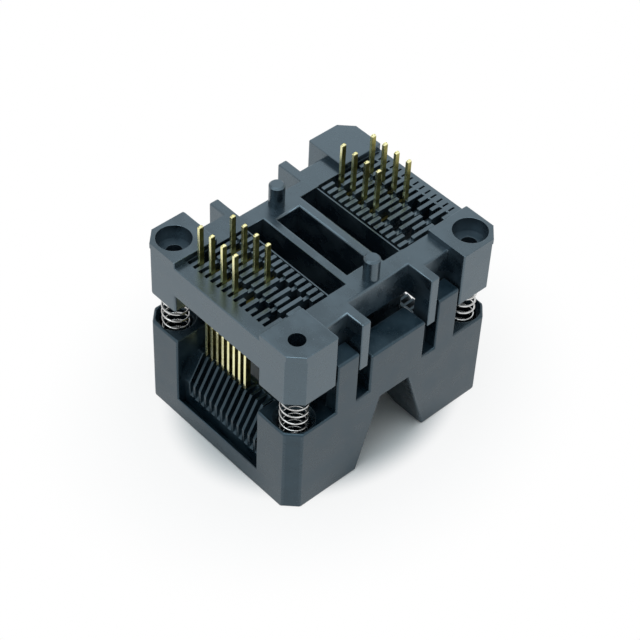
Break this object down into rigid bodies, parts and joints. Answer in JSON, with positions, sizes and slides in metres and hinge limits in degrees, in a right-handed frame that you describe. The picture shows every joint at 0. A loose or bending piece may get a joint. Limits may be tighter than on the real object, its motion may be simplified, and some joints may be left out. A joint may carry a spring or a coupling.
{
  "type": "burn-in socket",
  "caption": "Open-top burn-in socket for a small-outline chip, lying on its sprung actuator cover, with staggered solder tails and locating pegs on the board side.",
  "frame": {"origin": "middle of the footprint at the outer face of the actuator cover", "axes": "+Z towards the board side, +X across the two contact rows, +Y along them towards the fitted end"},
  "size_m": [0.0212, 0.0174, 0.0201],
  "materials": {
    "base_plastic": "dark slate moulded plastic, slightly satin",
    "cover_plastic": "dark slate moulded plastic, slightly satin",
    "seat_plastic": "dark moulded plastic",
    "contact_metal": "gold plated copper alloy sheet, bright",
    "spring_steel": "bright spring wire"
  },
  "bodies": {
    "base": {"base_housing": "base_plastic", "contact_left_1": "contact_metal", "contact_left_2": "contact_metal", "contact_left_3": "contact_metal", "contact_left_4": "contact_metal", "contact_left_5": "contact_metal", "contact_left_6": "contact_metal", "contact_left_7": "contact_metal", "contact_left_8": "contact_metal", "contact_right_1": "contact_metal", "contact_right_2": "contact_metal", "contact_right_3": "contact_metal", "contact_right_4": "contact_metal", "contact_right_5": "contact_metal", "contact_right_6": "contact_metal", "contact_right_7": "contact_metal", "contact_right_8": "contact_metal", "device_seat": "seat_plastic", "spring_back": "spring_steel", "spring_front": "spring_steel", "spring_left": "spring_steel", "spring_right": "spring_steel"},
    "cover": {"actuator_cover": "cover_plastic"},
    "left_arms": {"contact_left_1_arm": "contact_metal", "contact_left_2_arm": "contact_metal", "contact_left_3_arm": "contact_metal", "contact_left_4_arm": "contact_metal", "contact_left_5_arm": "contact_metal", "contact_left_6_arm": "contact_metal", "contact_left_7_arm": "contact_metal", "contact_left_8_arm": "contact_metal"},
    "right_arms": {"contact_right_1_arm": "contact_metal", "contact_right_2_arm": "contact_metal", "contact_right_3_arm": "contact_metal", "contact_right_4_arm": "contact_metal", "contact_right_5_arm": "contact_metal", "contact_right_6_arm": "contact_metal", "contact_right_7_arm": "contact_metal", "contact_right_8_arm": "contact_metal"}
  },
  "joints": [
    {"name": "cover_press", "type": "slide", "parent": "base", "child": "cover", "axis": [0, 0, 1], "range_m": [0, 0.0024], "stiffness_N_per_m": 1200, "springref_m": -0.003, "deforming": ["spring_back", "spring_front", "spring_left", "spring_right"]},
    {"name": "left_arms_swing", "type": "hinge", "parent": "base", "child": "left_arms", "pos_m": [-0.0069, 0, 0.0124], "axis": [0, 1, 0], "range_deg": [0, 11.5]},
    {"name": "right_arms_swing", "type": "hinge", "parent": "base", "child": "right_arms", "pos_m": [0.0069, 0, 0.0124], "axis": [0, -1, 0], "range_deg": [0, 11.5]}
  ],
  "couplings": [
    {"joint": "left_arms_swing", "follows": "cover_press", "rad_per_m": 83.6},
    {"joint": "right_arms_swing", "follows": "cover_press", "rad_per_m": 83.6}
  ]
}
